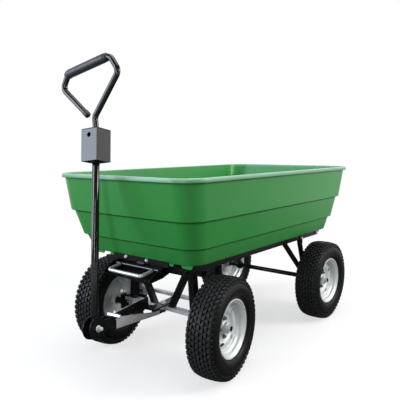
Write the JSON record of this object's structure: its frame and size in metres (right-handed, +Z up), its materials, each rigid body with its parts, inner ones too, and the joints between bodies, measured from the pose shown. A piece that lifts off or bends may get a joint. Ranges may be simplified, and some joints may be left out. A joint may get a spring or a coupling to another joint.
{
  "type": "tipping dump cart",
  "caption": "Garden dump cart: a tub that tips on a steel frame, steered pneumatic front wheels, release bar, and a folding pull handle with tow box and D-grip.",
  "frame": {"origin": "on the ground under the middle of the cart's overall length and width", "axes": "+X forward to the pull handle, +Y to the cart's left, +Z up"},
  "size_m": [1.5462, 0.7708, 1.2278],
  "materials": {
    "green_plastic": "satin moulded polyethylene",
    "black_paint": "gloss black powder coat",
    "zinc": "bright zinc plate",
    "galvanised": "galvanised pressed sheet",
    "bearing_steel": "plain bearing steel",
    "tyre_rubber": "black rubber",
    "valve_rubber": "black rubber",
    "foam": "closed-cell foam"
  },
  "bodies": {
    "frame": {"rail_left": "black_paint", "rail_right": "black_paint", "hinge_bolts": "zinc", "front_crossmember": "black_paint", "bolster": "black_paint", "rear_crossmember": "black_paint", "rear_leg_left": "black_paint", "rear_leg_right": "black_paint", "rear_axle": "black_paint", "front_leg_left": "black_paint", "front_leg_right": "black_paint", "front_brace_left": "black_paint", "front_brace_right": "black_paint", "front_beam": "zinc", "king_bolt": "zinc", "kingpins": "zinc", "latch_bracket": "black_paint", "frame_bolts": "zinc", "nuts_rear": "zinc"},
    "tub": {"tub": "green_plastic", "tub_rail_left": "black_paint", "tub_rail_right": "black_paint", "latch_plate": "black_paint", "latch_bolts": "zinc"},
    "release": {"release_bar": "zinc"},
    "drawbar": {"drawbar": "black_paint", "draw_stay": "zinc", "stop_bolt": "zinc"},
    "track_rod": {"track_rod": "zinc", "track_pins": "zinc"},
    "knuckle_left": {"knuckle_left": "black_paint", "nut_fl": "zinc"},
    "knuckle_right": {"knuckle_right": "black_paint", "nut_fr": "zinc"},
    "clevis": {"clevis": "black_paint", "pivot_bolt": "zinc"},
    "handle": {"pole": "black_paint", "tow_box": "black_paint", "tow_block": "black_paint", "d_handle": "black_paint", "grip": "foam"},
    "wheel_fl": {"tyre_fl": "tyre_rubber", "rim_fl": "galvanised", "bearings_fl": "bearing_steel", "valve_fl": "valve_rubber"},
    "wheel_fr": {"tyre_fr": "tyre_rubber", "rim_fr": "galvanised", "bearings_fr": "bearing_steel", "valve_fr": "valve_rubber"},
    "wheel_rl": {"tyre_rl": "tyre_rubber", "rim_rl": "galvanised", "bearings_rl": "bearing_steel", "valve_rl": "valve_rubber"},
    "wheel_rr": {"tyre_rr": "tyre_rubber", "rim_rr": "galvanised", "bearings_rr": "bearing_steel", "valve_rr": "valve_rubber"}
  },
  "joints": [
    {"name": "tub_tip", "type": "hinge", "parent": "frame", "child": "tub", "pos_m": [-0.67809, 0, 0.42792], "axis": [0, -1, 0], "range_deg": [0, 65]},
    {"name": "release", "type": "hinge", "parent": "frame", "child": "release", "pos_m": [0.46291, 0, 0.424], "axis": [0, -1, 0], "range_deg": [0, 18]},
    {"name": "steer", "type": "hinge", "parent": "frame", "child": "drawbar", "pos_m": [0.31691, 0, 0.2], "axis": [0, 0, 1], "range_deg": [-31, 15]},
    {"name": "knuckle_left", "type": "hinge", "parent": "frame", "child": "knuckle_left", "pos_m": [0.31691, 0.215, 0.2], "axis": [0, 0, 1], "range_deg": [-31, 15]},
    {"name": "knuckle_right", "type": "hinge", "parent": "frame", "child": "knuckle_right", "pos_m": [0.31691, -0.215, 0.2], "axis": [0, 0, 1], "range_deg": [-31, 15]},
    {"name": "track_rod", "type": "hinge", "parent": "drawbar", "child": "track_rod", "pos_m": [0.22283, -0.01322, 0.2], "axis": [0, 0, 1], "range_deg": [-15, 31]},
    {"name": "clevis_swivel", "type": "hinge", "parent": "drawbar", "child": "clevis", "pos_m": [0.64964, 0.04676, 0.265], "axis": [0.9903, 0.1392, 0], "range_deg": [-12, 0]},
    {"name": "handle_fold", "type": "hinge", "parent": "clevis", "child": "handle", "pos_m": [0.73084, 0.05817, 0.265], "axis": [-0.1384, 0.9848, 0.1045], "range_deg": [0, 99]},
    {"name": "wheel_fl_spin", "type": "hinge", "parent": "knuckle_left", "child": "wheel_fl", "pos_m": [0.30445, 0.30363, 0.2], "axis": [-0.1392, 0.9903, 0], "continuous": true},
    {"name": "wheel_fr_spin", "type": "hinge", "parent": "knuckle_right", "child": "wheel_fr", "pos_m": [0.32936, -0.30363, 0.2], "axis": [-0.1392, 0.9903, 0], "continuous": true},
    {"name": "wheel_rl_spin", "type": "hinge", "parent": "frame", "child": "wheel_rl", "pos_m": [-0.57309, 0.3045, 0.2], "axis": [0, 1, 0], "continuous": true},
    {"name": "wheel_rr_spin", "type": "hinge", "parent": "frame", "child": "wheel_rr", "pos_m": [-0.57309, -0.3045, 0.2], "axis": [0, 1, 0], "continuous": true}
  ],
  "couplings": [
    {"joint": "knuckle_left", "follows": "steer", "ratio": 1},
    {"joint": "knuckle_right", "follows": "steer", "ratio": 1},
    {"joint": "track_rod", "follows": "steer", "ratio": -1}
  ]
}
